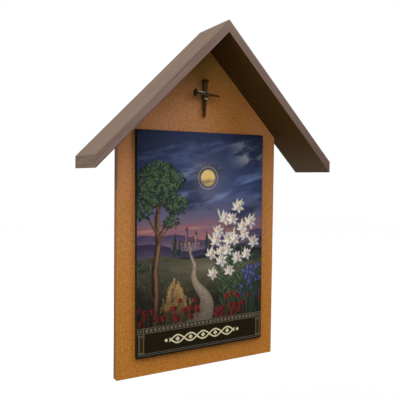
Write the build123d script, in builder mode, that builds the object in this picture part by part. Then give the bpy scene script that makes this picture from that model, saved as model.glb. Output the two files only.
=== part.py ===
from build123d import *
import os
from math import atan2, cos, hypot, radians, sin, tan

os.makedirs("parts", exist_ok=True)

# A gabled wayside shrine that hangs by its back: a pentagonal board under two mitred roof boards,
# with a picture panel on its face and a cross of two forged nails in the gable.
# Lengths are in millimetres and angles in degrees. The back lies on y = 0 and the front faces -Y.
# The origin is on the back face, on the centreline, halfway up the straight sides of the board.

# Picture panel, fixed a little out of true, its top a little above the shoulders of the board
picture_width = 300.0
picture_height = 450.0
picture_thickness = 9.5
picture_turn = 0.4
picture_lift = 3.0
picture_easing = 0.6

# Back board, left showing around the picture and rising to a gable above it
side_margin = 37.5
foot_margin = 40.0
board_thickness = 15.0
board_corner_radius = 2.0
board_easing = 0.8

# Roof boards, mitred at the ridge and cut plumb at the eaves
roof_pitch = 45.0
roof_thickness = 17.0
roof_projection = 97.0
eave_overhang = 77.0
roof_easing = 0.8

# Heads and points of the forged nails
head_width = 15.0
head_sides = 8
crown_height = 2.0
crown_share = 0.55
rim_height = 3.0
rim_share = 0.8
arris_share = 0.16
point_length = 5.0
tip_share = 0.6

# Upright nail, head up and leaning a little, its middle set at a share of the gable's height
upright_length = 78.0
upright_neck_width = 8.8
upright_point_width = 5.4
upright_rise_share = 0.386
upright_lean = 1.3

# Cross nail, lashed a little out of square to the front of the upright with its head to the left
cross_length = 61.0
cross_neck_width = 7.4
cross_point_width = 3.8
cross_head_reach = 29.5
cross_drop = 31.0
cross_tilt = 2.5

# Binding wire
wire_diameter = 1.4
wire_sides = 8
wire_clearance = 0.2
turn_count = 3

# Places that follow from the sizes of the picture, the board and the roof
half_width = picture_width / 2 + side_margin
side_height = foot_margin + picture_height - picture_lift
shoulder_z = side_height / 2
foot_z = shoulder_z - side_height
gable_rise = half_width * tan(radians(roof_pitch))
gable_z = shoulder_z + gable_rise
roof_plumb = roof_thickness / cos(radians(roof_pitch))
ridge_z = gable_z + roof_plumb
half_span = half_width + eave_overhang
eave_z = ridge_z - half_span * tan(radians(roof_pitch))
picture_z = foot_z + foot_margin + picture_height / 2

# Back board: a pentagon with its foot corners rounded and its front arrises eased below the roof
with BuildPart() as back_board:
    with BuildSketch(Plane.XZ):
        with BuildLine():
            Polyline(
                (-half_width, foot_z),
                (half_width, foot_z),
                (half_width, shoulder_z),
                (0, gable_z),
                (-half_width, shoulder_z),
                close=True,
            )
        make_face()
    extrude(amount=board_thickness)
    foot_corners = back_board.edges().filter_by(Axis.Y).group_by(Axis.Z)[0]
    fillet(foot_corners, radius=board_corner_radius)
    front_outline = back_board.faces().sort_by(Axis.Y)[0].edges().sort_by(Axis.Z)
    below_the_roof = front_outline[:-2]
    fillet(below_the_roof, radius=board_easing)
back_board.part.label = "back_board"
export_step(back_board.part, "parts/back_board.step")


def roof_board(side):
    """One slope of the roof, from the mitre at the ridge to the plumb cut of its eave."""
    with BuildPart() as board:
        with BuildSketch(Plane.XZ):
            with BuildLine():
                Polyline(
                    (0, ridge_z),
                    (side * half_span, eave_z),
                    (side * half_span, eave_z - roof_plumb),
                    (0, ridge_z - roof_plumb),
                    close=True,
                )
            make_face()
        extrude(amount=board_thickness + roof_projection)
        outwards = Axis((0, 0, 0), (side, 0, 0))
        front_outline = board.faces().sort_by(Axis.Y)[0].edges().sort_by(outwards)
        eave_arrises = board.faces().sort_by(outwards)[-1].edges().filter_by(Axis.Y)
        away_from_mitre = front_outline[1:]
        fillet(away_from_mitre + eave_arrises, radius=roof_easing)
    return board.part


for label, side in (("left_roof_board", -1), ("right_roof_board", 1)):
    slope = roof_board(side)
    slope.label = label
    export_step(slope, f"parts/{label}.step")

# Picture panel: a slab seated on the board's face, its front arrises eased
with BuildPart() as picture_panel:
    with BuildSketch(Plane.XZ.offset(board_thickness)):
        with Locations((0, picture_z)):
            Rectangle(picture_width, picture_height, rotation=picture_turn)
    extrude(amount=picture_thickness)
    fillet(picture_panel.faces().sort_by(Axis.Y)[0].edges(), radius=picture_easing)
picture_panel.part.label = "picture_panel"
export_step(picture_panel.part, "parts/picture_panel.step")

# Forged nails: a length from crown to tip, and the widths of the square shank at its neck and its point
upright_sizes = (upright_length, upright_neck_width, upright_point_width)
cross_sizes = (cross_length, cross_neck_width, cross_point_width)
head_thickness = crown_height + rim_height


def shank_width_at(distance, length, neck_width, point_width):
    """Width of a nail's tapered shank at a distance from its crown."""
    tapered = (distance - head_thickness) / (length - point_length - head_thickness)
    return neck_width + (point_width - neck_width) * tapered


def forged_nail(crown, length, neck_width, point_width):
    """A nail from the plane of its crown: faceted head, tapered shank with cut arrises, short point."""
    head_stations = (
        (0, head_width * crown_share),
        (crown_height, head_width),
        (head_thickness, head_width * rim_share),
    )
    shank_stations = (
        (crown_height, neck_width),
        (head_thickness, neck_width),
        (length - point_length, point_width),
        (length, point_width * tip_share),
    )
    with BuildPart() as nail:
        for distance, width in head_stations:
            with BuildSketch(crown.offset(distance)):
                RegularPolygon(width / 2, head_sides, major_radius=False, rotation=180 / head_sides)
        loft(ruled=True)
        for distance, width in shank_stations:
            with BuildSketch(crown.offset(distance)) as section:
                Rectangle(width, width)
                chamfer(section.vertices(), length=width * arris_share)
        loft(ruled=True)
    return nail.part


# The two shanks where they cross, each on its thicker side of the lashing, and the arm with its tilt
wire_pitch = wire_diameter + wire_clearance
wire_reach = wire_diameter / 2 + wire_clearance
lashing_side = upright_neck_width / 2 + wire_pitch
cross_half = shank_width_at(cross_head_reach - lashing_side, *cross_sizes) / 2
arm_half = cross_half / cos(radians(cross_tilt)) + lashing_side * tan(radians(cross_tilt))
upright_half = shank_width_at(cross_drop - arm_half, *upright_sizes) / 2

# The upright stands off the board by its head, or by the wire behind it where that needs more room
upright_y = -board_thickness - max(head_width / 2, upright_half + 2 * wire_pitch + wire_clearance)
cross_y = upright_y - upright_half - wire_clearance - cross_half

# The cross leans as a whole, so its own directions and its crossing, on the upright's axis, come first
rightward = Vector(cos(radians(upright_lean)), 0, -sin(radians(upright_lean)))
upward = Vector(sin(radians(upright_lean)), 0, cos(radians(upright_lean)))
upright_middle = Vector(0, upright_y, shoulder_z + gable_rise * upright_rise_share)
upright_top = upright_middle + upward * (upright_length / 2)
crossing = upright_top - upward * cross_drop

upright_crown = Plane(origin=upright_top, x_dir=rightward, z_dir=-upward)
upright_nail = forged_nail(upright_crown, *upright_sizes)
upright_nail.label = "upright_nail"
export_step(upright_nail, "parts/upright_nail.step")

cross_run = rightward * cos(radians(cross_tilt)) - upward * sin(radians(cross_tilt))
cross_top = crossing + Vector(0, cross_y - upright_y, 0) - cross_run * cross_head_reach
cross_crown = Plane(origin=cross_top, x_dir=(0, -1, 0), z_dir=cross_run)
cross_nail = forged_nail(cross_crown, *cross_sizes)
cross_nail.label = "cross_nail"
export_step(cross_nail, "parts/cross_nail.step")

# Binding wire: a pair of diagonal turns over the crossing, the second outside the first,
# then close turns around the upright under the arm. Each is a plane and half the turn's sides.
corner_x = upright_half + wire_reach
corner_z = arm_half + wire_reach
corner_angle = atan2(corner_z, corner_x)
front_y = cross_y - cross_half - wire_reach
rear_y = upright_y + upright_half + wire_reach
lashing_middle = crossing + Vector(0, (front_y + rear_y) / 2 - upright_y, 0)
turns = []
for slant, lift in ((1, 0), (-1, wire_pitch)):
    along = rightward * cos(corner_angle) + upward * slant * sin(corner_angle)
    diagonal = Plane(origin=lashing_middle, x_dir=along, z_dir=along.cross(Vector(0, 1, 0)))
    turns.append((diagonal, hypot(corner_x, corner_z), (rear_y - front_y) / 2 + lift))
for turn_number in range(1, turn_count + 1):
    drop = corner_z + turn_number * wire_pitch
    reach = shank_width_at(cross_drop + drop - wire_reach, *upright_sizes) / 2 + wire_reach
    around_upright = Plane(origin=crossing - upward * drop, x_dir=rightward, z_dir=upward)
    turns.append((around_upright, reach, reach))

with BuildPart() as binding_wire:
    for turn_plane, half_length, half_depth in turns:
        with BuildLine(turn_plane) as turn:
            FilletPolyline(
                (half_length, half_depth),
                (-half_length, half_depth),
                (-half_length, -half_depth),
                (half_length, -half_depth),
                radius=wire_diameter,
                close=True,
            )
        with BuildSketch(Plane(origin=turn.line @ 0, z_dir=turn.line % 0)):
            RegularPolygon(wire_diameter / 2, wire_sides)
        sweep()
binding_wire.part.label = "binding_wire"
export_step(binding_wire.part, "parts/binding_wire.step")
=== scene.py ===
from math import cos, pi, radians, sin

import bmesh
import bpy
import numpy
from mathutils import Matrix, Vector


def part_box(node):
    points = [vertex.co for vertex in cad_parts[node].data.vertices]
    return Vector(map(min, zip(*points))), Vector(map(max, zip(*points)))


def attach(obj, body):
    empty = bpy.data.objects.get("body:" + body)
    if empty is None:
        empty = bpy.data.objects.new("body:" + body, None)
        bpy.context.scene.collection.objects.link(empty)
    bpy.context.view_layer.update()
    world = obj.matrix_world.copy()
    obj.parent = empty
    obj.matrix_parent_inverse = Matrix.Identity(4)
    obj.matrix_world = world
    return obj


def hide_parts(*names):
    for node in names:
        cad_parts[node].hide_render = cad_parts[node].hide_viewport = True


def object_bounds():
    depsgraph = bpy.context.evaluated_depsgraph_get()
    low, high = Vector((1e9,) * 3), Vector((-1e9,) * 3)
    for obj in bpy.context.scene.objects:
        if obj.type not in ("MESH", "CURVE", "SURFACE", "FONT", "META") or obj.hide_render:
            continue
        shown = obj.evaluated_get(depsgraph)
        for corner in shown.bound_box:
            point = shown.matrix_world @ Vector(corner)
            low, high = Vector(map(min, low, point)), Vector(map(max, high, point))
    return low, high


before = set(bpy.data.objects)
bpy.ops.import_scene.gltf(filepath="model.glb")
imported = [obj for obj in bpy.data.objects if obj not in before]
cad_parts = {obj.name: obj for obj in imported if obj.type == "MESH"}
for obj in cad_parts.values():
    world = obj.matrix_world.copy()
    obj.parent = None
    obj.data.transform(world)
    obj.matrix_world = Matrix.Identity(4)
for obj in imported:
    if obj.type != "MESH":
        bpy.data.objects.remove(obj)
cad_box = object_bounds()

# Back board
# A pentagon of dyed wood fibreboard, sawn to shape, its front arrises sanded round, under a satin seal.
# Its pressed fibres show as an orange and brown mottle. The front face has a painted sheen towards the gable,
# painted light at the shoulders and painted shade under the ridge. The sawn edges drank the seal and went
# dark.
board_low, board_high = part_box("back_board")
fibre_light = (0.448, 0.178, 0.028, 1.0)
fibre_dark = (0.286, 0.099, 0.009, 1.0)
# Painted sheen over the light and the dark fibres.
painted_sheen_light = (0.445, 0.202, 0.092, 1.0)
painted_sheen_dark = (0.300, 0.128, 0.054, 1.0)
# Painted light for the shoulders.
shoulder_painted_light = (0.660, 0.290, 0.125, 1.0)
# Painted shade for the gable under the ridge.
ridge_painted_shade = (0.270, 0.155, 0.030, 1.0)
fibre_chip = (0.500, 0.270, 0.085, 1.0)
fibre_pore = (0.150, 0.055, 0.010, 1.0)
edge_light = (0.232, 0.088, 0.008, 1.0)
edge_dark = (0.116, 0.044, 0.004, 1.0)


def place(tree, kind, sockets=None, **settings):
    """Adds a shader node, sets its options, and fills its sockets with values or links."""
    node = tree.nodes.new(kind)
    for name, value in settings.items():
        setattr(node, name, value)
    for name, value in (sockets or {}).items():
        if isinstance(value, bpy.types.NodeSocket):
            tree.links.new(value, node.inputs[name])
        else:
            node.inputs[name].default_value = value
    return node


def finish_for(name):
    """A new material, with its node tree and its Principled shader."""
    material = bpy.data.materials.new(name)
    material.use_nodes = True
    return material, material.node_tree, material.node_tree.nodes["Principled BSDF"]


def calculate(tree, operation, *values):
    """The output of one Math node."""
    return place(tree, "ShaderNodeMath", dict(enumerate(values)), operation=operation).outputs[0]


def fade(tree, value, start, end, low=0.0, high=1.0):
    """A smooth change from low, where the value is at start, to high, where it is at end."""
    sockets = {"Value": value, "From Min": start, "From Max": end, "To Min": low, "To Max": high}
    return place(tree, "ShaderNodeMapRange", sockets, interpolation_type="SMOOTHSTEP").outputs[0]


def blend_colours(tree, factor, first, second):
    """The output of a colour mix, from the first colour at 0 to the second at 1."""
    mix = place(tree, "ShaderNodeMix", data_type="RGBA")
    for socket, value in ((mix.inputs[0], factor), (mix.inputs[6], first), (mix.inputs[7], second)):
        if isinstance(value, bpy.types.NodeSocket):
            tree.links.new(value, socket)
        else:
            socket.default_value = value
    return mix.outputs[2]


def cloud(tree, where, scale, detail=3.0, roughness=0.5):
    """Noise around 0.5, in patches about as wide as one divided by the scale."""
    sockets = {"Vector": where, "Scale": scale, "Detail": detail, "Roughness": roughness}
    return place(tree, "ShaderNodeTexNoise", sockets).outputs["Fac"]


def stretch(tree, where, x_scale, y_scale, z_scale):
    """A place scaled on each axis, for a pattern that is drawn out."""
    sockets = {"Vector": where, "Scale": (x_scale, y_scale, z_scale)}
    return place(tree, "ShaderNodeMapping", sockets).outputs[0]


def roughen(tree, shader, height, strength, distance):
    """Raises and lowers the surface in its shading."""
    bump = place(tree, "ShaderNodeBump", {"Height": height, "Strength": strength, "Distance": distance})
    tree.links.new(bump.outputs[0], shader.inputs["Normal"])


def dress(node_name, material):
    """Gives a carried-over solid its finish."""
    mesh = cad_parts[node_name].data
    mesh.materials.clear()
    mesh.materials.append(material)


fibreboard, tree, shader = finish_for("mottled fibreboard")
where = place(tree, "ShaderNodeTexCoord").outputs["Object"]
axes = place(tree, "ShaderNodeSeparateXYZ", {0: where}).outputs
clumps = cloud(tree, where, 260.0, 5.0, 0.62)
patches = cloud(tree, where, 16.0)
on_front_face = fade(tree, axes["Y"], board_low[1] + 0.004, board_low[1] + 0.002)
# The bloom is a painted sheen on the front face: it grows up from the foot in patches and is cut back under
# the right plank's shadow.
from_right_slope = calculate(tree, "SUBTRACT", board_high[2], calculate(tree, "ADD", axes["X"], axes["Z"]))
up_from_foot = fade(tree, axes["Z"], board_low[2], 0.30)
off_right_slope = fade(tree, from_right_slope, 0.05, 0.19, 0.35, 1.0)
bloom = calculate(tree, "MULTIPLY", up_from_foot, off_right_slope)
bloom = calculate(tree, "MULTIPLY", bloom, fade(tree, patches, 0.2, 0.8, 0.35, 0.90))
bloom = calculate(tree, "MULTIPLY", bloom, on_front_face)
light = blend_colours(tree, bloom, fibre_light, painted_sheen_light)
dark = blend_colours(tree, bloom, fibre_dark, painted_sheen_dark)
face_colour = blend_colours(tree, fade(tree, clumps, 0.33, 0.67), dark, light)
# Painted light on the front face by the sides, rising towards the shoulders.
out_from_middle = calculate(tree, "ABSOLUTE", axes["X"])
by_the_sides = fade(tree, out_from_middle, 0.075, 0.150)
up_to_shoulders = fade(tree, axes["Z"], 0.08, 0.18, 0.0, 0.3)
shoulders = calculate(tree, "MULTIPLY", by_the_sides, up_to_shoulders)
face_colour = blend_colours(tree, calculate(tree, "MULTIPLY", shoulders, on_front_face), face_colour, shoulder_painted_light)
# Painted shade high in the gable, under the ridge.
painted_ridge_shade = calculate(tree, "MULTIPLY", fade(tree, axes["Z"], 0.32, 0.39, 0.0, 0.6), on_front_face)
face_colour = blend_colours(tree, painted_ridge_shade, face_colour, ridge_painted_shade)
chips = fade(tree, cloud(tree, where, 520.0, 2.0), 0.66, 0.78, 0.0, 0.35)
face_colour = blend_colours(tree, chips, face_colour, fibre_chip)
pores = fade(tree, cloud(tree, stretch(tree, where, 1.0, 1.0, 1.3), 700.0, 2.0), 0.32, 0.22, 0.0, 0.45)
face_colour = blend_colours(tree, pores, face_colour, fibre_pore)
saw_lines = cloud(tree, stretch(tree, where, 40.0, 900.0, 40.0), 1.0)
behind_face = fade(tree, axes["Y"], board_low[1] + 0.0003, board_low[1] + 0.0012)
before_back = fade(tree, axes["Y"], board_high[1] - 0.0002, board_high[1] - 0.0008)
on_edge = calculate(tree, "MULTIPLY", behind_face, before_back)
edge_colour = blend_colours(tree, saw_lines, edge_dark, edge_light)
tree.links.new(blend_colours(tree, on_edge, face_colour, edge_colour), shader.inputs["Base Color"])
tree.links.new(fade(tree, clumps, 0.2, 0.8, 0.62, 0.46), shader.inputs["Roughness"])
shader.inputs["Specular IOR Level"].default_value = 0.15
roughen(tree, shader, calculate(tree, "ADD", clumps, saw_lines), 0.25, 0.0004)
dress("back_board", fibreboard)

# Roof boards
# Two planks mitred at the ridge and cut plumb at the eaves, stained taupe and left matt.
# The grain runs down each slope: faint on the flat faces, in warm streaks along the sawn front edges,
# and lost in saw marks on the eave ends. The underside and the low end of the right plank's front edge carry
# painted shade.
half_span, _, ridge_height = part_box("right_roof_board")[1]
plank_thickness = 0.017
plank_plumb = plank_thickness / cos(radians(45))
top_light = (0.150, 0.107, 0.080, 1.0)
top_dark = (0.128, 0.089, 0.065, 1.0)
front_light = (0.170, 0.118, 0.098, 1.0)
front_dark = (0.124, 0.080, 0.065, 1.0)
front_rose = (0.178, 0.106, 0.094, 1.0)
# Painted shade for the low end of a front edge.
front_painted_shade = (0.085, 0.050, 0.038, 1.0)
end_light = (0.152, 0.109, 0.082, 1.0)
end_dark = (0.110, 0.075, 0.053, 1.0)
# Painted shade on the underside, darkest at the ridge and less towards the eaves.
under_ridge_painted_shade = (0.066, 0.032, 0.007, 1.0)
under_eave_painted_shade = (0.104, 0.072, 0.039, 1.0)
grain_line = (0.050, 0.034, 0.025, 1.0)


def effect(name, inputs, outputs):
    """A new shader node group, with the nodes of its inputs and of its outputs."""
    group = bpy.data.node_groups.new(name, "ShaderNodeTree")
    for direction, sockets in (("INPUT", inputs), ("OUTPUT", outputs)):
        for title, kind in sockets.items():
            group.interface.new_socket(title, in_out=direction, socket_type="NodeSocket" + kind)
    return group, group.nodes.new("NodeGroupInput"), group.nodes.new("NodeGroupOutput")


# A plank's place runs down its slope from the ridge, through the depth of the roof,
# and up from its underside.
stain_and_painted_shade, given, made = effect(
    "plank stain",
    {"Place": "Vector", "End": "Float", "Shade": "Float"},
    {"Colour": "Color", "Roughness": "Float", "Height": "Float"},
)
where = given.outputs["Place"]
axes = place(stain_and_painted_shade, "ShaderNodeSeparateXYZ", {0: where}).outputs
fine_grain = cloud(stain_and_painted_shade, stretch(stain_and_painted_shade, where, 9.0, 420.0, 420.0), 1.0, 4.0, 0.6)
wide_grain = cloud(stain_and_painted_shade, stretch(stain_and_painted_shade, where, 5.0, 70.0, 150.0), 1.0, 3.0, 0.6)
tint = cloud(stain_and_painted_shade, stretch(stain_and_painted_shade, where, 14.0, 40.0, 90.0), 1.0, 2.0)
front_colour = blend_colours(stain_and_painted_shade, fade(stain_and_painted_shade, wide_grain, 0.36, 0.62), front_dark, front_light)
front_colour = blend_colours(stain_and_painted_shade, fade(stain_and_painted_shade, tint, 0.5, 0.75, 0.0, 0.7), front_colour, front_rose)
hairlines = cloud(stain_and_painted_shade, stretch(stain_and_painted_shade, where, 12.0, 60.0, 460.0), 1.0, 3.0, 0.6)
front_colour = blend_colours(stain_and_painted_shade, fade(stain_and_painted_shade, hairlines, 0.52, 0.34, 0.0, 0.55), front_colour, front_dark)
# Painted shade on the front edge, growing towards the eave by the Shade amount.
shade = calculate(stain_and_painted_shade, "MULTIPLY", given.outputs["Shade"], fade(stain_and_painted_shade, axes["X"], 0.05, 0.37))
front_colour = blend_colours(stain_and_painted_shade, shade, front_colour, front_painted_shade)
saw_marks = cloud(stain_and_painted_shade, stretch(stain_and_painted_shade, where, 300.0, 18.0, 300.0), 1.0, 3.0, 0.6)
end_colour = blend_colours(stain_and_painted_shade, fade(stain_and_painted_shade, saw_marks, 0.3, 0.7), end_dark, end_light)
top_colour = blend_colours(stain_and_painted_shade, fade(stain_and_painted_shade, wide_grain, 0.3, 0.7), top_dark, top_light)
# The underside's painted shade eases from the ridge out to the eaves.
under_colour = blend_colours(stain_and_painted_shade, fade(stain_and_painted_shade, axes["X"], 0.30, 0.385), under_ridge_painted_shade, under_eave_painted_shade)
on_top = fade(stain_and_painted_shade, axes["Z"], plank_thickness - 0.0012, plank_thickness - 0.0002)
underneath = fade(stain_and_painted_shade, axes["Z"], 0.0012, 0.0002)
colour = blend_colours(stain_and_painted_shade, given.outputs["End"], front_colour, end_colour)
colour = blend_colours(stain_and_painted_shade, on_top, colour, top_colour)
colour = blend_colours(stain_and_painted_shade, underneath, colour, under_colour)
colour = blend_colours(stain_and_painted_shade, fade(stain_and_painted_shade, fine_grain, 0.46, 0.28, 0.0, 0.4), colour, grain_line)
relief = calculate(stain_and_painted_shade, "ADD", fine_grain, calculate(stain_and_painted_shade, "MULTIPLY", wide_grain, 0.5))
stain_and_painted_shade.links.new(colour, made.inputs["Colour"])
stain_and_painted_shade.links.new(fade(stain_and_painted_shade, fine_grain, 0.2, 0.8, 0.78, 0.6), made.inputs["Roughness"])
stain_and_painted_shade.links.new(relief, made.inputs["Height"])

# Only the right plank gets painted shade at the low end of its front edge.
for plank, side, offset, low_end_painted_shade in (
    ("left_roof_board", -1.0, 0.4, 0.0),
    ("right_roof_board", 1.0, 0.0, 0.6),
):
    roof_wood, tree, shader = finish_for(plank.replace("_", " ") + " wood")
    where = place(tree, "ShaderNodeTexCoord").outputs["Object"]
    ridge = (ridge_height * cos(radians(45)), offset, (plank_plumb - ridge_height) * cos(radians(45)))
    sockets = {
        "Vector": where,
        "Location": ridge,
        "Rotation": (0.0, radians(-45), 0.0),
        "Scale": (side, 1.0, 1.0),
    }
    down_slope = place(tree, "ShaderNodeMapping", sockets).outputs[0]
    wood = place(tree, "ShaderNodeGroup", node_tree=stain_and_painted_shade)
    tree.links.new(down_slope, wood.inputs["Place"])
    sideways = place(tree, "ShaderNodeSeparateXYZ", {0: where}).outputs["X"]
    out_from_middle = calculate(tree, "ABSOLUTE", sideways)
    tree.links.new(fade(tree, out_from_middle, half_span - 0.0010, half_span - 0.0003), wood.inputs["End"])
    wood.inputs["Shade"].default_value = low_end_painted_shade
    tree.links.new(wood.outputs["Colour"], shader.inputs["Base Color"])
    tree.links.new(wood.outputs["Roughness"], shader.inputs["Roughness"])
    shader.inputs["Specular IOR Level"].default_value = 0.05
    roughen(tree, shader, wood.outputs["Height"], 0.3, 0.0003)
    dress(plank, roof_wood)

# Picture panel
# A print on hardboard with sanded arrises and black edges, glued to the board a little askew and
# varnished satin. It shows a dusk landscape in muted colours, over a black plaque with gilt ornament
# between two pilasters.
panel_low, panel_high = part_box("picture_panel")
panel_width, panel_height, panel_thickness = 0.300, 0.450, 0.0095
panel_easing = 0.0006
panel_turn = radians(0.4)
panel_middle = Vector((0.0, panel_low[1], (panel_low[2] + panel_high[2]) / 2))
columns, rows = 240, 360

# The landscape is painted on a canvas of one point for each vertex of the panel's face, in millimetres.
cell = 1000 * panel_width / columns
across, up = numpy.meshgrid(numpy.arange(columns + 1) * cell, numpy.arange(rows + 1) * cell)
canvas = numpy.zeros((rows + 1, columns + 1, 3))
chance = numpy.random.default_rng(7)


def rise(value, start, end):
    """A smooth step from 0 at start to 1 at end."""
    share = numpy.clip((value - start) / (end - start), 0, 1)
    return share * share * (3 - 2 * share)


def drift(width, height, slant=0.0, layers=4):
    """Cloudy values from 0 to 1, in patches of this width and height that climb rightwards by slant."""
    total = numpy.zeros(across.shape)
    for layer in range(layers):
        x = across / width * 2 ** layer
        y = (up - slant * across + 300) / height * 2 ** layer
        column, row = numpy.floor(x).astype(int), numpy.floor(y).astype(int)
        x, y = rise(x - column, 0, 1), rise(y - row, 0, 1)
        row -= row.min()
        lattice = chance.random((row.max() + 2, column.max() + 2))
        lower = lattice[row, column] * (1 - x) + lattice[row, column + 1] * x
        upper = lattice[row + 1, column] * (1 - x) + lattice[row + 1, column + 1] * x
        total += (lower * (1 - y) + upper * y) / 2 ** min(layer + 1, layers - 1)
    return total


def tone(red, green, blue):
    """A paint, by its 8-bit display values."""
    return numpy.array((red, green, blue)) / 255


def pick(*tones):
    """One of several paints, by chance."""
    return tones[chance.integers(len(tones))]


def cover(amount, colour, window=...):
    """Lays a paint over the canvas, by an amount from 0 to 1 at each point."""
    canvas[window] += (colour - canvas[window]) * amount[..., None]


def around(u, v, reach):
    """The window of the canvas within reach of a place."""
    spans = [(max(int((at - reach) / cell), 0), max(int((at + reach) / cell) + 2, 0)) for at in (v, u)]
    return tuple(slice(*span) for span in spans)


def stroke(points, widths, colour, strength=1.0, soft=1.3):
    """A brush stroke through points, with a width at each."""
    points = numpy.asarray(points, float)
    low, high = points.min(0), points.max(0)
    window = around(*(low + high) / 2, max(high - low) / 2 + max(widths) + soft)
    amount = numpy.zeros(across[window].shape)
    for start, run, width, swell in zip(points, numpy.diff(points, axis=0), widths, numpy.diff(widths)):
        du, dv = across[window] - start[0], up[window] - start[1]
        share = numpy.clip((du * run[0] + dv * run[1]) / (run @ run), 0, 1)
        past = numpy.hypot(du - share * run[0], dv - share * run[1]) - (width + swell * share) / 2
        amount = numpy.maximum(amount, 1 - rise(past, -soft / 2, soft / 2))
    cover(amount * strength, colour, window)


def leaf(u, v, length, width, angle, lit, shaded, strength=0.95):
    """A pointed leaf or petal from its root, with a lit and a shaded side."""
    window = around(u, v, length)
    du, dv = across[window] - u, up[window] - v
    along = (du * cos(angle) + dv * sin(angle)) / length
    side = dv * cos(angle) - du * sin(angle)
    half = width / 2 * numpy.sin(pi * numpy.clip(along, 0, 1) ** 0.8)
    amount = (1 - rise(abs(side) - half, -0.7, 0.7)) * ((along > 0) & (along < 1))
    cover(amount * strength, shaded + (lit - shaded) * rise(side / width, -0.25, 0.3)[..., None], window)


def foliage(clumps, paints, length, width):
    """Clumps of leaves, each a place and two radii, in layers from the dark inside to the lit outside."""
    for layer, (lit, shaded, thinning) in enumerate(paints):
        for u, v, wide, high in clumps:
            for _ in range(int(wide * high / thinning)):
                turn, out = chance.uniform(0, 2 * pi), chance.random() ** 0.5 * (1.06 - 0.1 * layer)
                spot = u + wide * out * cos(turn) + layer, v + high * out * sin(turn) + 2 * layer
                size = chance.uniform(0.7, 1.25)
                leaf(*spot, length * size, width * size, chance.uniform(-2.7, 0.6), lit, shaded)


# Sky, with a break in the clouds and the last of the sunset
sky_heights = (232, 256, 282, 330, 395, 450)
sky_tones = zip((150, 100, 104), (120, 94, 110), (92, 90, 116), (60, 70, 106), (47, 56, 88), (46, 53, 80))
canvas[...] = numpy.stack([numpy.interp(up, sky_heights, part) for part in sky_tones], -1) / 255
cover(rise(drift(120, 34, 0.16), 0.50, 0.74) * 0.65, tone(28, 33, 56))
lit_clouds = rise(up, 250, 320) * (1 - rise(up, 370, 440))
cover(rise(drift(95, 20, 0.2), 0.50, 0.80) * lit_clouds * 0.85, tone(106, 124, 164))
cover(rise(drift(60, 14, 0.24), 0.55, 0.82) * rise(up, 270, 330) * 0.5, tone(88, 102, 140))
gap = rise(across, 196, 268) * rise(up, 368, 402) * (1 - rise(up, 424, 448))
cover(rise(drift(46, 22, 0.3), 0.38, 0.66) * gap * 0.85, tone(176, 172, 176))
dusk = numpy.exp(-((up - 252) / 14) ** 2)
cover(rise(drift(110, 7, 0.03), 0.42, 0.72) * dusk * 0.75, tone(158, 96, 96))
cover(rise(drift(90, 5, 0.03), 0.56, 0.80) * dusk * 0.6, tone(204, 142, 112))

# Moon, with a thin ring and a veil of cloud
moon_u, moon_v, moon_radius = 160.0, 356.0, 17.0
moon_light, moon_dark = tone(222, 190, 118), tone(188, 146, 82)
from_moon = numpy.hypot(across - moon_u, up - moon_v)
cover(numpy.exp(-(from_moon / 44) ** 2) * 0.35, tone(160, 148, 136))
moon_face = moon_light + (moon_dark - moon_light) * rise(drift(14, 14), 0.42, 0.7)[..., None]
cover(1 - rise(from_moon, moon_radius - 0.8, moon_radius + 0.8), moon_face)
cover((1 - rise(abs(from_moon - moon_radius - 6.0), 0.4, 1.5)) * 0.6, tone(200, 172, 116))
veil = numpy.exp(-((up - moon_v + 12) / 8) ** 2 - ((across - moon_u) / 42) ** 2)
cover(rise(drift(80, 9, 0.12), 0.5, 0.72) * veil * 0.7, tone(78, 82, 108))

# Hills, paler in the mist at their feet
for crest, swell, length, start, top, mist in (
    (236, 7, 41, 0.6, tone(72, 62, 90), tone(116, 96, 110)),
    (217, 10, 57, 2.1, tone(52, 46, 68), tone(84, 74, 90)),
    (197, 8, 73, 4.4, tone(36, 37, 44), tone(66, 63, 64)),
):
    wave = across / length + start
    rolling = swell * (numpy.sin(wave) + 0.35 * numpy.sin(2.7 * wave))
    skyline = crest + rolling + 3 * drift(20, 4000, 0, 3) - 1.5
    below = skyline - up
    slope_tone = top + (mist - top) * rise(below, 0, 30)[..., None] + 0.06 * drift(9, 4)[..., None] - 0.03
    cover(rise(below, -0.7, 0.7), slope_tone)

# A small town on the middle hill
houses = [(chance.normal(120, 20), chance.uniform(4.5, 9), chance.uniform(7, 15)) for _ in range(26)]
for u, wide, tall in houses + [(110, 6, 36), (132, 5.4, 29)]:
    foot = 211 + 7 * numpy.exp(-((u - 120) / 22) ** 2) + chance.uniform(-4, 3)
    wall = tone(122, 106, 116) * chance.uniform(0.75, 1.1)
    dark_side = u + wide * 0.32
    stroke([(u, foot), (u, foot + tall)], (wide, wide), wall, 0.95)
    stroke([(dark_side, foot), (dark_side, foot + tall)], (wide * 0.36, wide * 0.36), wall * 0.62, 0.9)
    eaves, peak = (u, foot + tall), (u, foot + tall * 1.12 + wide * 0.35)
    stroke([eaves, peak], (wide + 1.5, 0.4), tone(88, 62, 66), 0.95)
    if chance.random() < 0.6:
        pane_u, pane_v = u - wide * 0.15, foot + tall * 0.6
        stroke([(pane_u, pane_v), (pane_u, pane_v + 1.6)], (1.6, 1.6), tone(236, 188, 104))

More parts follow.
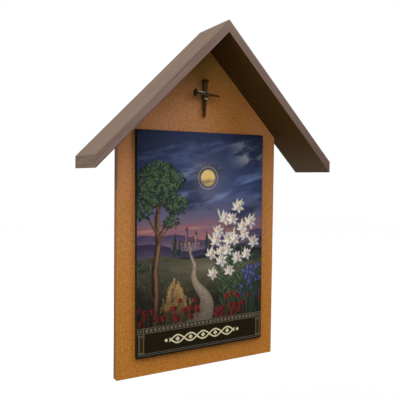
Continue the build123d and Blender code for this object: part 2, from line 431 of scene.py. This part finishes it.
# Meadow in the last light
meadow = 188 + 9 * numpy.sin(across / 60 + 0.5) + 4 * numpy.sin(across / 23) - up
soil = tone(40, 42, 35) + (tone(84, 78, 60) - tone(40, 42, 35)) * drift(30, 10)[..., None]
cover(rise(meadow, -0.9, 1.2), soil * (0.55 + 0.62 * rise(up, 60, 176))[..., None])
shine = numpy.exp(-((across - 170) / 70) ** 2 - ((up - 170) / 20) ** 2)
cover(rise(meadow, 0, 3) * shine * 0.45, tone(150, 138, 118))
for _ in range(520):
    u, v = chance.uniform(-5, 305), 60 + 124 * chance.random() ** 0.8
    blade = 3 + (190 - v) * 0.06 * chance.uniform(0.6, 1.4)
    paint = pick(tone(98, 104, 70), tone(70, 80, 58), tone(126, 116, 82), tone(46, 50, 42))
    stroke([(u, v), (u + chance.normal(0, 2), v + blade)], (1.5, 0.5), paint, 0.5)

# A pebbled path down from the town
bends = (
    (120, 212), (117, 203), (123, 190), (131, 174), (124, 156),
    (133, 134), (158, 108), (160, 78), (132, 40), (110, 10),
)
widths = (2.2, 3.2, 5, 7.5, 11, 16, 25, 40, 62, 80)
steps = numpy.linspace(0, len(bends) - 1, 46)
course = numpy.stack([numpy.interp(steps, range(len(bends)), part) for part in zip(*bends)], -1)
breadth = numpy.interp(steps, range(len(bends)), widths)
for _ in range(6):
    course[1:-1] = (course[:-2] + 2 * course[1:-1] + course[2:]) / 4
stroke(course, breadth + 3, tone(70, 62, 52), 0.8, 4)
stroke(course, breadth, tone(142, 124, 108), 0.95, 3)
stroke(course + 0.14 * breadth[:, None] * (1, 0), breadth * 0.5, tone(182, 162, 140), 0.45, 7)
for step in chance.integers(len(course), size=320):
    u, v = course[step] + (chance.uniform(-0.42, 0.42) * breadth[step], chance.normal(0, 3))
    size = 0.7 + breadth[step] * 0.035
    pebble = pick(tone(108, 94, 82), tone(194, 176, 152))
    stroke([(u - size, v), (u + size, v + 0.3)], (1.2, 1.0), pebble, 0.45)


def on_path(u, v):
    """True where a plant would stand on the path."""
    step = numpy.argmin(abs(course[:, 1] - v))
    return abs(u - course[step, 0]) < breadth[step] / 2 + 2


# Bushes at the far side of the meadow, and cypresses by the town
leaf_layers = (
    (tone(36, 46, 40), tone(24, 32, 30), 4.0),
    (tone(58, 76, 54), tone(32, 46, 38), 6.0),
    (tone(104, 120, 82), tone(54, 72, 52), 12.0),
)
bushes = [(8, 178, 18, 9), (184, 184, 11, 7), (206, 186, 17, 9), (286, 186, 22, 11), (258, 183, 14, 8)]
foliage(bushes, leaf_layers, 4.2, 2.0)
for u, foot, tall in ((84, 198, 42), (94, 196, 31), (158, 195, 48), (167, 193, 35)):
    for _ in range(110):
        share = chance.random()
        aside = chance.uniform(-5.2, 5.2) * (1 - share) ** 0.6 * (0.45 + 0.55 * min(1, share * 6))
        low = foot + share * tall
        paint = tone(36, 46, 40) * chance.uniform(0.7, 1.5) + 0.016 * aside
        stroke([(u + aside, low), (u + aside * 0.8, low + 4)], (1.8, 0.8), paint, 0.8)

# An old tree at the left
trunk = numpy.array(((34, 56), (40, 118), (38, 172), (46, 226), (43, 276), (52, 318)))
stroke(trunk, (27, 17, 14, 12, 10, 6), tone(66, 48, 38))
stroke(trunk + (2.6, 0), (9, 6.5, 5, 4.2, 3.4, 2), tone(146, 112, 78), 0.8, 3)
stroke(trunk - (4.2, 0), (7, 5, 4, 3.4, 3, 2), tone(40, 30, 28), 0.8, 3)
boughs = (
    ((46, 236), (92, 300), 6),
    ((42, 246), (8, 292), 6),
    ((46, 286), (76, 344), 5),
    ((46, 290), (20, 346), 5),
    ((42, 214), (72, 262), 4),
)
for start, end, wide in boughs:
    knee = 0.55 * start[0] + 0.45 * end[0], 0.45 * start[1] + 0.55 * end[1]
    lit_side = [(start[0] + 1, start[1]), (knee[0] + 1, knee[1]), end]
    stroke([start, knee, end], (wide, wide * 0.7, 1.0), tone(70, 50, 40))
    stroke(lit_side, (wide * 0.35, wide * 0.25, 0.5), tone(140, 106, 74), 0.6)
for v in chance.uniform(60, 270, 46):
    u = numpy.interp(v, trunk[:, 1], trunk[:, 0]) + chance.normal(0, 3.2)
    crack = [(u, v), (u + chance.normal(0, 0.8), v + chance.uniform(6, 16))]
    stroke(crack, (1.4, 0.6), pick(tone(36, 27, 24), tone(162, 126, 90)), 0.45)
crown = [
    (44, 330, 42, 30), (86, 302, 26, 20), (10, 300, 26, 24), (74, 352, 30, 22),
    (18, 352, 28, 24), (46, 372, 34, 18), (72, 266, 18, 12),
]
foliage(crown, leaf_layers, 6.6, 3.0)

# Lilies at the right
blooms = []
for foot, head, top in ((212, 200, 268), (222, 234, 292), (232, 266, 258), (206, 180, 222), (226, 222, 226)):
    heights = (56, 56 + (top - 56) * 0.55, top)
    bend = (foot, foot * 0.6 + head * 0.4, head)
    stroke(list(zip(bend, heights)), (3.0, 2.5, 1.6), tone(50, 68, 48))
    stroke([(u + 0.6, v) for u, v in zip(bend, heights)], (1.2, 1.0, 0.8), tone(110, 128, 86), 0.7)
    for v in numpy.arange(62, top - 56, 6.0) + chance.normal(0, 2.0):
        angle = pi / 2 + chance.choice((-1, 1)) * chance.uniform(0.25, 1.15)
        long = (30 - v * 0.07) * chance.uniform(0.7, 1.2)
        light = chance.uniform(0.6, 1.1)
        root = numpy.interp(v, heights, bend), v
        leaf(*root, long, 5.0, angle, tone(104, 124, 88) * light, tone(44, 62, 48) * light)
    for aside, lower, size in ((0, 0, 1.05), (-13, 27, 0.95), (12, 44, 1.0), (-9, 70, 0.9)):
        blooms.append((head + aside, top - lower, size))
for u, v, size in sorted(blooms, key=lambda bloom: -bloom[1]):
    facing = pi / 2 + chance.uniform(-0.9, 0.4)
    for turn, length in ((-2.2, 14), (2.2, 14), (-1.3, 17), (1.3, 17), (-0.5, 20), (0.5, 20), (0, 18)):
        light = chance.uniform(0.86, 1.0)
        shaded = pick(tone(178, 164, 176), tone(198, 180, 158), tone(160, 156, 170))
        long = length * size * chance.uniform(0.9, 1.1)
        leaf(u, v, long, 7.8 * size, facing + turn, tone(255, 249, 230) * light, shaded * light, 0.98)
    for turn in (-0.45, -0.1, 0.25, 0.55):
        tip = u + 8 * size * cos(facing + turn), v + 8 * size * sin(facing + turn)
        stroke([(u, v), tip], (1.0, 1.0), tone(198, 184, 122), 0.6)
        stroke([tip, (tip[0] + cos(facing), tip[1] + sin(facing))], (1.8, 1.6), tone(184, 126, 56), 0.9)
for u, v, angle in ((190, 276, 1.9), (242, 296, 1.3), (272, 264, 1.1), (170, 226, 2.2), (226, 236, 1.5)):
    leaf(u, v, 18, 5.6, angle, tone(220, 218, 188), tone(142, 156, 120))

# Irises at the right edge
for u, v in zip(chance.uniform(240, 300, 30), chance.uniform(92, 168, 30)):
    stroke([(u + chance.normal(0, 4), 52), (u, v)], (2.0, 1.3), tone(58, 78, 60), 0.9)
    blade = u + chance.normal(0, 5), 52, chance.uniform(50, 84), 6.0, pi / 2 + chance.normal(0, 0.16)
    leaf(*blade, tone(92, 112, 86), tone(40, 60, 52))
    for turn in (-1.9, 1.9, -0.7, 0.7, 0):
        leaf(u, v, chance.uniform(7, 10), 5.0, pi / 2 + turn, tone(98, 108, 160), tone(40, 46, 96))
    stroke([(u, v), (u, v + 2)], (1.6, 1.4), tone(206, 168, 86), 0.9)

# Wheat beside the path
for u, share in zip(chance.normal(84, 13, 110), chance.random(110)):
    v = 86 + share * (64 - 46 * min(1, abs(u - 84) / 28))
    straw = tone(134, 106, 66) * chance.uniform(0.7, 1.15)
    stroke([(u - chance.normal(0, 4), 56), (u, v)], (1.3, 1.0), straw, 0.75)
    for grain in range(5):
        angle = pi / 2 + 0.5 * (-1) ** grain
        leaf(u, v - 4 + 2.4 * grain, 4.6, 1.9, angle, tone(206, 172, 114), tone(140, 104, 62))

# Grass and poppies at the foot
for u, v in zip(chance.uniform(-4, 304, 420), chance.uniform(44, 76, 420)):
    if not on_path(u, v):
        paint = pick(tone(74, 88, 58), tone(50, 62, 46), tone(104, 106, 70), tone(32, 38, 32))
        stroke([(u, v), (u + chance.normal(0, 4), v + chance.uniform(8, 24))], (1.7, 0.5), paint, 0.75)
for u, v in zip(chance.uniform(4, 300, 52), 66 + 44 * chance.random(52) ** 1.3):
    if not on_path(u, v):
        size = 4.4 + (118 - v) * 0.055
        stroke([(u + chance.normal(0, 3), v - 16), (u, v)], (1.4, 1.0), tone(66, 84, 56), 0.8)
        for turn in (-2.0, 2.0, -0.9, 0.9, 0):
            leaf(u, v - 1, size * 1.35, size * 1.1, pi / 2 + turn, tone(172, 66, 54), tone(98, 34, 32))
        stroke([(u, v), (u, v + 0.6)], (2.2, 1.8), tone(34, 20, 22), 0.9)

# The print darkens towards its corners, and its paints become the light they give back
corner = numpy.hypot((across - 150) / 190, (up - 265) / 260)
canvas *= (1.0 - 0.34 * rise(corner, 0.55, 1.15))[..., None] * (0.72 + 0.28 * rise(up, 60, 170))[..., None]
canvas = numpy.clip(canvas * (0.97 + 0.06 * drift(4, 4, 0, 2))[..., None], 0, 1)
canvas = 0.86 * numpy.where(canvas <= 0.04045, canvas / 12.92, ((canvas + 0.055) / 1.055) ** 2.4)

panel_mesh = bmesh.new()
bmesh.ops.create_grid(panel_mesh, x_segments=columns, y_segments=rows, size=0.5)
bmesh.ops.scale(panel_mesh, verts=panel_mesh.verts, vec=(panel_width, panel_height, 1.0))
rim = [edge for edge in panel_mesh.edges if edge.is_boundary]
walls = bmesh.ops.extrude_edge_only(panel_mesh, edges=rim)["geom"]
back_verts = [part for part in walls if isinstance(part, bmesh.types.BMVert)]
back_edges = [part for part in walls if isinstance(part, bmesh.types.BMEdge)]
bmesh.ops.translate(panel_mesh, verts=back_verts, vec=(0.0, 0.0, -panel_thickness))
bmesh.ops.edgeloop_fill(panel_mesh, edges=[edge for edge in back_edges if edge.is_boundary])
bmesh.ops.bevel(
    panel_mesh,
    geom=rim,
    affect="EDGES",
    offset=panel_easing,
    segments=3,
    profile=0.5,
    material=-1,
    clamp_overlap=True,
)
bmesh.ops.recalc_face_normals(panel_mesh, faces=panel_mesh.faces)
for face in panel_mesh.faces:
    face.material_index = 0 if face.normal.z > 0.6 else 1
    face.smooth = face.normal.z > 0.05
paints = []
for vert in panel_mesh.verts:
    column = round((vert.co.x / panel_width + 0.5) * columns)
    row = round((vert.co.y / panel_height + 0.5) * rows)
    paints.append((*canvas[min(max(row, 0), rows), min(max(column, 0), columns)], 1.0))
upright = Matrix.Translation(panel_middle) @ Matrix.Rotation(-panel_turn, 4, "Y")
upright = upright @ Matrix.Rotation(pi / 2, 4, "X")
bmesh.ops.transform(panel_mesh, matrix=upright, verts=panel_mesh.verts)
panel_data = bpy.data.meshes.new("picture")
panel_mesh.to_mesh(panel_data)
panel_mesh.free()
paint_layer = panel_data.color_attributes.new("landscape", "FLOAT_COLOR", "POINT")
paint_layer.data.foreach_set("color", numpy.ravel(paints))
picture = bpy.data.objects.new("picture", panel_data)
bpy.context.scene.collection.objects.link(picture)

gilt = (0.560, 0.500, 0.310, 1.0)
varnished_print, tree, shader = finish_for("varnished print")
where = place(tree, "ShaderNodeTexCoord").outputs["Object"]
foot_middle = panel_middle + Matrix.Rotation(-panel_turn, 3, "Y") @ Vector((0.0, 0.0, -panel_height / 2))
sockets = {
    "Vector": where,
    "Location": foot_middle,
    "Rotation": (0.0, -panel_turn, 0.0),
    "Scale": (0.001, 0.001, 0.001),
}
on_print = place(tree, "ShaderNodeMapping", sockets, vector_type="TEXTURE").outputs[0]
axes = place(tree, "ShaderNodeSeparateXYZ", {0: on_print}).outputs
sideways, height = axes["X"], axes["Z"]
from_middle = calculate(tree, "ABSOLUTE", sideways)


def ruled(value, centre, width, soft=0.25):
    """1 on a printed line of this width, fading at its edges, all in millimetres."""
    off = calculate(tree, "ABSOLUTE", calculate(tree, "SUBTRACT", value, centre))
    return fade(tree, off, width / 2 + soft, width / 2 - soft)


def both(first, second):
    """Where two marks overlap."""
    return calculate(tree, "MULTIPLY", first, second)


def either(first, second):
    """Where one mark or the other is."""
    return calculate(tree, "MAXIMUM", first, second)


def apart(x, y):
    """Distance from where both are zero."""
    x_squared = calculate(tree, "MULTIPLY", x, x)
    y_squared = calculate(tree, "MULTIPLY", y, y)
    return calculate(tree, "SQRT", calculate(tree, "ADD", x_squared, y_squared))


# Frieze of crosses and rings, with a square at each end
motif_pitch, frieze_middle = 9.2, 53.8
motif = calculate(tree, "ROUND", calculate(tree, "DIVIDE", sideways, motif_pitch))
motif_middle = calculate(tree, "MULTIPLY", motif, motif_pitch)
motif_x = calculate(tree, "ABSOLUTE", calculate(tree, "SUBTRACT", sideways, motif_middle))
motif_y = calculate(tree, "ABSOLUTE", calculate(tree, "SUBTRACT", height, frieze_middle))
odd = calculate(tree, "MODULO", calculate(tree, "ABSOLUTE", motif), 2.0)
diagonals = ruled(calculate(tree, "SUBTRACT", motif_x, motif_y), 0.0, 1.5)
cross = both(diagonals, ruled(either(motif_x, motif_y), 0.0, 6.4))
ring = either(ruled(apart(motif_x, motif_y), 2.2, 1.2), ruled(apart(motif_x, motif_y), 0.0, 1.2))
motifs = calculate(tree, "ADD", both(cross, odd), both(ring, calculate(tree, "SUBTRACT", 1.0, odd)))
motifs = both(motifs, fade(tree, from_middle, 134.0, 133.5))
end_sides = either(ruled(from_middle, 136.0, 1.0), ruled(from_middle, 147.5, 1.0))
end_square = both(end_sides, ruled(height, frieze_middle, 9.0))
end_boss = ruled(apart(calculate(tree, "SUBTRACT", from_middle, 141.8), motif_y), 0.0, 3.4)
frieze = either(motifs, either(end_square, end_boss))
long_lines = either(ruled(height, 58.9, 1.3), ruled(height, 48.7, 1.2))
foot_lines = either(ruled(height, 4.6, 1.0), ruled(height, 8.0, 0.9))
foot_lines = both(foot_lines, fade(tree, from_middle, 148.0, 147.5))

# Pilasters, each with two pale strips, a dark recess, a capital and a foot
shaft = ruled(height, 27.0, 37.0)
strips = both(either(ruled(from_middle, 145.4, 3.0), ruled(from_middle, 135.8, 2.4)), shaft)
recess = both(ruled(from_middle, 140.4, 6.6), shaft)
capital = both(ruled(from_middle, 140.8, 14.0), either(ruled(height, 44.2, 4.6), ruled(height, 10.0, 3.0)))
scroll_x = calculate(tree, "SUBTRACT", from_middle, 140.8)
scroll_y = calculate(tree, "SUBTRACT", height, 43.6)
scroll = ruled(apart(scroll_x, scroll_y), 2.6, 1.0)

# Gilt guilloche in the middle of the plaque: two waves that cross, with a quatrefoil in each eye
eye_pitch, wave_height, wave_middle, wave_end = 30.0, 8.0, 28.6, 75.0
wave_angle = calculate(tree, "MULTIPLY", sideways, pi / eye_pitch)
wave = calculate(tree, "MULTIPLY", calculate(tree, "COSINE", wave_angle), wave_height)
lean = calculate(tree, "MULTIPLY", calculate(tree, "SINE", wave_angle), wave_height * pi / eye_pitch)
steepness = apart(1.0, lean)
wave_y = calculate(tree, "SUBTRACT", height, wave_middle)
upper_wave = calculate(tree, "DIVIDE", calculate(tree, "SUBTRACT", wave_y, wave), steepness)
lower_wave = calculate(tree, "DIVIDE", calculate(tree, "ADD", wave_y, wave), steepness)
waves = either(ruled(upper_wave, 0.0, 2.8), ruled(lower_wave, 0.0, 2.8))
waves = both(waves, fade(tree, from_middle, wave_end + 4.0, wave_end + 3.5))
eye = calculate(tree, "ROUND", calculate(tree, "DIVIDE", sideways, eye_pitch))
eye_middle = calculate(tree, "MULTIPLY", eye, eye_pitch)
eye_x = calculate(tree, "ABSOLUTE", calculate(tree, "SUBTRACT", sideways, eye_middle))
eye_y = calculate(tree, "ABSOLUTE", wave_y)
petal_far = calculate(tree, "SUBTRACT", either(eye_x, eye_y), 2.6)
petals = ruled(apart(petal_far, calculate(tree, "MINIMUM", eye_x, eye_y)), 0.0, 4.0)
petals = both(petals, fade(tree, from_middle, wave_end, wave_end - 0.5))
lozenge_x = calculate(tree, "ABSOLUTE", calculate(tree, "SUBTRACT", from_middle, 86.0))
lozenge = ruled(calculate(tree, "ADD", lozenge_x, eye_y), 0.0, 8.0)
guilloche = either(either(waves, petals), lozenge)

plaque_dark, plaque_light = (0.0072, 0.0050, 0.0008, 1.0), (0.0098, 0.0072, 0.0018, 1.0)
plaque = blend_colours(tree, cloud(tree, where, 60.0), plaque_dark, plaque_light)
plaque = blend_colours(tree, recess, plaque, (0.026, 0.014, 0.004, 1.0))
plaque = blend_colours(tree, strips, plaque, (0.080, 0.066, 0.036, 1.0))
plaque = blend_colours(tree, capital, plaque, (0.088, 0.074, 0.044, 1.0))
plaque = blend_colours(tree, both(scroll, capital), plaque, (0.022, 0.018, 0.010, 1.0))
plaque = blend_colours(tree, foot_lines, plaque, (0.105, 0.092, 0.078, 1.0))
plaque = blend_colours(tree, ruled(height, frieze_middle, 10.2), plaque, (0.022, 0.016, 0.010, 1.0))
plaque = blend_colours(tree, frieze, plaque, (0.205, 0.168, 0.102, 1.0))
plaque = blend_colours(tree, long_lines, plaque, (0.098, 0.078, 0.056, 1.0))
plaque = blend_colours(tree, guilloche, plaque, gilt)
landscape = place(tree, "ShaderNodeVertexColor", layer_name="landscape").outputs["Color"]
above_plaque = fade(tree, height, 59.3, 59.8)
tree.links.new(blend_colours(tree, above_plaque, plaque, landscape), shader.inputs["Base Color"])
varnish = cloud(tree, where, 90.0, 4.0)
tree.links.new(fade(tree, varnish, 0.2, 0.8, 0.34, 0.5), shader.inputs["Roughness"])
shader.inputs["Specular IOR Level"].default_value = 0.04
roughen(tree, shader, cloud(tree, where, 900.0, 2.0), 0.04, 0.0002)
panel_data.materials.append(varnished_print)
black_edge, tree, shader = finish_for("black panel edge")
where = place(tree, "ShaderNodeTexCoord").outputs["Object"]
brush_marks = cloud(tree, stretch(tree, where, 60.0, 500.0, 60.0), 1.0, 4.0)
edge_paint = blend_colours(tree, brush_marks, (0.004, 0.0035, 0.003, 1.0), (0.016, 0.013, 0.009, 1.0))
tree.links.new(edge_paint, shader.inputs["Base Color"])
tree.links.new(fade(tree, brush_marks, 0.2, 0.8, 0.6, 0.8), shader.inputs["Roughness"])
shader.inputs["Specular IOR Level"].default_value = 0.1
roughen(tree, shader, brush_marks, 0.2, 0.0003)
panel_data.materials.append(black_edge)
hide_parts("picture_panel")
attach(picture, "root")

# Nails
# Two hand-forged nails of blackened iron, with faceted heads and hammered shanks that rust towards the point.
# The upright leans a little and stands off the board. The cross nail is lashed over its front,
# and one of its arrises is bright, as wear and as a painted highlight on the side towards the light.
upright_low, upright_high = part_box("upright_nail")
cross_low, cross_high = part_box("cross_nail")
upright_crown = (0.00088, (upright_low[1] + upright_high[1]) / 2, 0.35487)
cross_crown = (-0.02925, (cross_low[1] + cross_high[1]) / 2, 0.32583)
black_scale = (0.0240, 0.0165, 0.0036, 1.0)
brown_scale = (0.0640, 0.0370, 0.0085, 1.0)
rust_brown = (0.0980, 0.0290, 0.0006, 1.0)
# Bright iron for wear on an arris, and a painted highlight there.
worn_iron_highlight = (0.800, 0.700, 0.660, 1.0)

# A nail's place is in millimetres from the middle of its crown, with Z towards its point.
forging, given, made = effect(
    "forging",
    {"Place": "Vector", "Neck": "Float", "Taper": "Float", "Wear and highlight": "Float", "Rusted from": "Float"},
    {"Colour": "Color", "Roughness": "Float", "Worn and highlit": "Float", "Height": "Float"},
)
where = given.outputs["Place"]
axes = place(forging, "ShaderNodeSeparateXYZ", {0: where}).outputs
scale = cloud(forging, where, 0.9, 3.0)
sockets = {"Vector": where, "Scale": 0.3}
facets = place(forging, "ShaderNodeTexVoronoi", sockets, feature="SMOOTH_F1").outputs["Distance"]
narrowing = calculate(forging, "MULTIPLY", axes["Z"], given.outputs["Taper"])
half_shank = calculate(forging, "SUBTRACT", given.outputs["Neck"], narrowing)
off_x = calculate(forging, "ABSOLUTE", axes["X"])
off_y = calculate(forging, "ABSOLUTE", axes["Y"])
off_axis = calculate(forging, "ADD", off_x, off_y)
# Along one arris, between the head and the lashing, on one side: wear and a painted highlight.
arris = fade(forging, calculate(forging, "DIVIDE", off_axis, half_shank), 1.52, 1.66)
highlit_side = fade(forging, axes["X"], 0.5, -0.5, 0.08, 1.0)
past_head = fade(forging, axes["Z"], 5.2, 7.0)
up_to_lashing = calculate(forging, "MULTIPLY", past_head, fade(forging, axes["Z"], 30.0, 22.0))
worn_and_highlit = calculate(forging, "MULTIPLY", calculate(forging, "MULTIPLY", arris, highlit_side), up_to_lashing)
worn_and_highlit = calculate(forging, "MULTIPLY", worn_and_highlit, fade(forging, scale, 0.25, 0.55))
worn_and_highlit = calculate(forging, "MULTIPLY", worn_and_highlit, given.outputs["Wear and highlight"])
skin = blend_colours(forging, fade(forging, scale, 0.3, 0.7), black_scale, brown_scale)
past_rust_line = calculate(forging, "SUBTRACT", axes["Z"], given.outputs["Rusted from"])
skin = blend_colours(forging, fade(forging, past_rust_line, 0.0, 14.0), skin, rust_brown)
forging.links.new(blend_colours(forging, worn_and_highlit, skin, worn_iron_highlight), made.inputs["Colour"])
forging.links.new(fade(forging, scale, 0.3, 0.7, 0.30, 0.48), made.inputs["Roughness"])
forging.links.new(worn_and_highlit, made.inputs["Worn and highlit"])
forging.links.new(facets, made.inputs["Height"])

for nail, crown, turn, neck, taper, wear_and_highlight, rusted_from in (
    ("upright_nail", upright_crown, (pi, radians(1.3), 0.0), 4.525, 0.0250, 0.12, 62.0),
    ("cross_nail", cross_crown, (0.0, radians(93.8), 0.0), 3.876, 0.0353, 1.0, 38.0),
):
    iron, tree, shader = finish_for(nail.replace("_", " ") + " iron")
    where = place(tree, "ShaderNodeTexCoord").outputs["Object"]
    sockets = {"Vector": where, "Location": crown, "Rotation": turn, "Scale": (0.001, 0.001, 0.001)}
    from_crown = place(tree, "ShaderNodeMapping", sockets, vector_type="TEXTURE").outputs[0]
    forged = place(tree, "ShaderNodeGroup", node_tree=forging)
    tree.links.new(from_crown, forged.inputs["Place"])
    forged.inputs["Neck"].default_value = neck
    forged.inputs["Taper"].default_value = taper
    forged.inputs["Wear and highlight"].default_value = wear_and_highlight
    forged.inputs["Rusted from"].default_value = rusted_from
    tree.links.new(forged.outputs["Colour"], shader.inputs["Base Color"])
    tree.links.new(forged.outputs["Roughness"], shader.inputs["Roughness"])
    tree.links.new(calculate(tree, "MULTIPLY", forged.outputs["Worn and highlit"], 0.5), shader.inputs["Metallic"])
    shader.inputs["Specular IOR Level"].default_value = 0.025
    roughen(tree, shader, forged.outputs["Height"], 0.5, 0.0008)
    dress(nail, iron)

# Binding wire
# Soft steel wire, wound twice across the nails and three times round the upright below them.
# It has gone dark with age, with faint pale spots, and the right of the lowest turn under the arm carries a
# painted highlight.
crossing_height = 0.3239
dark_wire = (0.055, 0.042, 0.014, 1.0)
pale_steel_and_highlight = (0.920, 0.890, 0.780, 1.0)
wire_steel, tree, shader = finish_for("steel wire")
where = place(tree, "ShaderNodeTexCoord").outputs["Object"]
axes = place(tree, "ShaderNodeSeparateXYZ", {0: where}).outputs
tarnish = cloud(tree, where, 420.0, 3.0)
draw_marks = cloud(tree, stretch(tree, where, 300.0, 300.0, 2500.0), 1.0)
# A painted highlight on the right of the lowest turn, and faint pale spots from the tarnish.
highlight_and_spots = fade(tree, axes["Z"], crossing_height - 0.0080, crossing_height - 0.0086)
highlight_and_spots = calculate(tree, "MULTIPLY", highlight_and_spots, fade(tree, axes["X"], -0.0030, -0.0010))
highlight_and_spots = calculate(tree, "MAXIMUM", highlight_and_spots, fade(tree, tarnish, 0.50, 0.68, 0.0, 0.25))
tree.links.new(blend_colours(tree, highlight_and_spots, dark_wire, pale_steel_and_highlight), shader.inputs["Base Color"])
tree.links.new(fade(tree, tarnish, 0.3, 0.7, 0.44, 0.26), shader.inputs["Roughness"])
tree.links.new(calculate(tree, "MULTIPLY", highlight_and_spots, 0.6), shader.inputs["Metallic"])
shader.inputs["Specular IOR Level"].default_value = 0.12
roughen(tree, shader, draw_marks, 0.2, 0.0002)
dress("binding_wire", wire_steel)

# Floor
# A pale floor well below the shrine, which hangs at eye height with nothing under it.
# It reads as white to the eye and in gloss, and keeps the shadow.
floor_drop = 0.45
floor_mesh = bmesh.new()
bmesh.ops.create_grid(floor_mesh, x_segments=1, y_segments=1, size=8.0)
bmesh.ops.translate(floor_mesh, verts=floor_mesh.verts, vec=(0, 0, cad_box[0][2] - floor_drop))
floor_data = bpy.data.meshes.new("floor")
floor_mesh.to_mesh(floor_data)
floor_mesh.free()
floor = bpy.data.objects.new("floor", floor_data)
bpy.context.scene.collection.objects.link(floor)
floor_finish, tree, shader = finish_for("pale floor")
path = place(tree, "ShaderNodeLightPath")
seen = calculate(tree, "MAXIMUM", path.outputs["Is Camera Ray"], path.outputs["Is Glossy Ray"])
where = place(tree, "ShaderNodeTexCoord").outputs["Object"]
far = place(tree, "ShaderNodeVectorMath", {0: where}, operation="LENGTH").outputs["Value"]
glow = fade(tree, far, 0.8, 3.0, 0.80, 0.99)
floor_colour = blend_colours(tree, seen, (0.35, 0.35, 0.35, 1), (0.22, 0.22, 0.22, 1))
tree.links.new(floor_colour, shader.inputs["Base Color"])
shader.inputs["Emission Color"].default_value = (1, 1, 1, 1)
tree.links.new(calculate(tree, "MULTIPLY", seen, glow), shader.inputs["Emission Strength"])
shader.inputs["Roughness"].default_value = 1.0
shader.inputs["Specular IOR Level"].default_value = 0.0
floor_data.materials.append(floor_finish)

# Light
# Broad soft lights: one at the left for the roof's slope and edges, three in front for the face,
# one of them high, and a small weak one for the back. The white surround shows, but lights nothing.
world = bpy.data.worlds.new("studio")
bpy.context.scene.world = world
world.use_nodes = True
tree = world.node_tree
path = place(tree, "ShaderNodeLightPath")
seen = calculate(tree, "MAXIMUM", path.outputs["Is Camera Ray"], path.outputs["Is Glossy Ray"])
seen = calculate(tree, "MAXIMUM", seen, path.outputs["Is Transmission Ray"])
tree.nodes["Background"].inputs["Color"].default_value = (1, 1, 1, 1)
tree.links.new(seen, tree.nodes["Background"].inputs["Strength"])


def soft_light(name, azimuth, elevation, size, power):
    """A square light that faces the shrine. Azimuth 0 is straight in front, and more is to the right."""
    data = bpy.data.lights.new(name, "AREA")
    data.size = size
    data.energy = power
    light = bpy.data.objects.new(name, data)
    flat = cos(radians(elevation))
    towards = Vector((sin(radians(azimuth)) * flat, -cos(radians(azimuth)) * flat, sin(radians(elevation))))
    light.location = towards * 2.4
    light.rotation_euler = towards.to_track_quat("Z", "Y").to_euler()
    bpy.context.scene.collection.objects.link(light)


soft_light("left light", -80, 35, 1.7, 60)
soft_light("key light", -26, 30, 1.7, 27)
soft_light("right light", 44, 35, 1.7, 27)
soft_light("top light", 18, 60, 1.7, 30)
soft_light("back light", 180, 0, 0.8, 14)

# Camera
# The photograph's viewpoint: left of the panel, a little above its middle, with a slight roll.
# The place, turns and focal length were fitted together to edges of the boards and the panel.
eye = Vector((-0.56387, -0.97988, 0.15363))
turn_right = radians(30.11)
tilt_up = radians(-2.42)
roll = radians(0.67)
focal_pixels = 535.79
picture_pixels = 400
camera_data = bpy.data.cameras.new("camera")
camera_data.sensor_width = 36.0
camera_data.lens = camera_data.sensor_width * focal_pixels / picture_pixels
camera = bpy.data.objects.new("camera", camera_data)
aim = Matrix.Rotation(-turn_right, 4, "Z") @ Matrix.Rotation(pi / 2 + tilt_up, 4, "X")
aim = aim @ Matrix.Rotation(roll, 4, "Z")
camera.matrix_world = Matrix.Translation(eye) @ aim
bpy.context.scene.collection.objects.link(camera)
bpy.context.scene.camera = camera
bpy.context.scene.view_settings.view_transform = "Standard"
